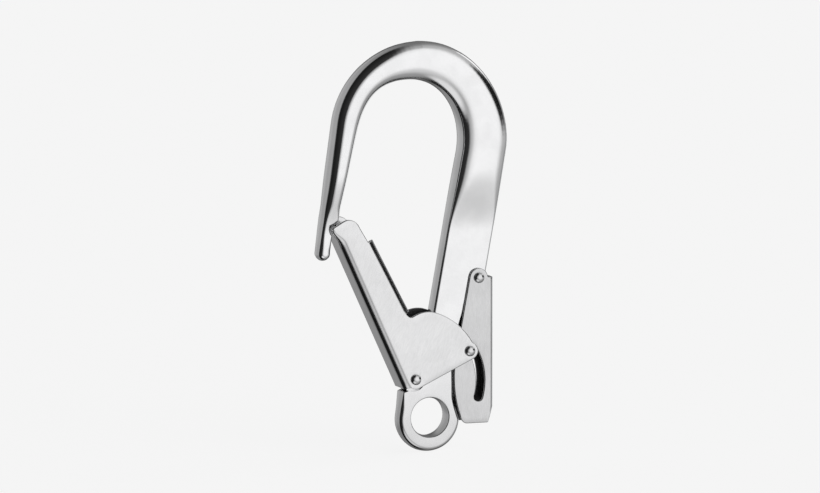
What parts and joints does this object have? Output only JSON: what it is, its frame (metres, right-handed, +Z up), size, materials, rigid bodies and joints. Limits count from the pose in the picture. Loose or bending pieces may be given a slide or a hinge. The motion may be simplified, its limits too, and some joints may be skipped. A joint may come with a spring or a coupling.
{
  "type": "scaffold snap hook",
  "caption": "Long steel snap hook with a wide bow, a round eye, a spring gate of pressed sheet and a safety lever that has to be squeezed before the gate opens.",
  "frame": {"origin": "bottom centre of the hook's box: middle of its width, middle of its thickness, lowest point of the eye", "axes": "+Z up along the hook from the eye to the top of the bow, +X from the nose side to the shank side, -Y out of the front face"},
  "size_m": [0.1106, 0.0232, 0.2275],
  "materials": {
    "forged_steel": "polished plated steel with soft forged edges",
    "gate_steel": "polished plated sheet steel",
    "lever_steel": "satin plated sheet steel",
    "rivet_steel": "bright domed heads",
    "bush_steel": "turned",
    "spring_steel": "drawn wire"
  },
  "bodies": {
    "hook": {"hook_body": "forged_steel", "lever_spring": "spring_steel"},
    "gate": {"gate": "gate_steel", "gate_rivet": "rivet_steel", "gate_bush": "bush_steel", "gate_spring": "spring_steel", "lock_pin": "rivet_steel"},
    "lever": {"lock_lever": "lever_steel", "lever_rivet": "rivet_steel"}
  },
  "joints": [
    {"name": "gate_hinge", "type": "hinge", "parent": "hook", "child": "gate", "pos_m": [-0.00013, 0, 0.04127], "axis": [0, 1, 0], "range_deg": [0, 40], "stiffness_Nm_per_rad": 0.05, "deforming": ["gate_spring"]},
    {"name": "lever_hinge", "type": "hinge", "parent": "hook", "child": "lever", "pos_m": [0.03764, 0, 0.0959], "axis": [0, 1, 0], "range_deg": [0, 4], "deforming": ["lever_spring"]}
  ],
  "couplings": [
    {"joint": "lever_hinge", "follows": "gate_hinge", "ratio": 0.1}
  ]
}
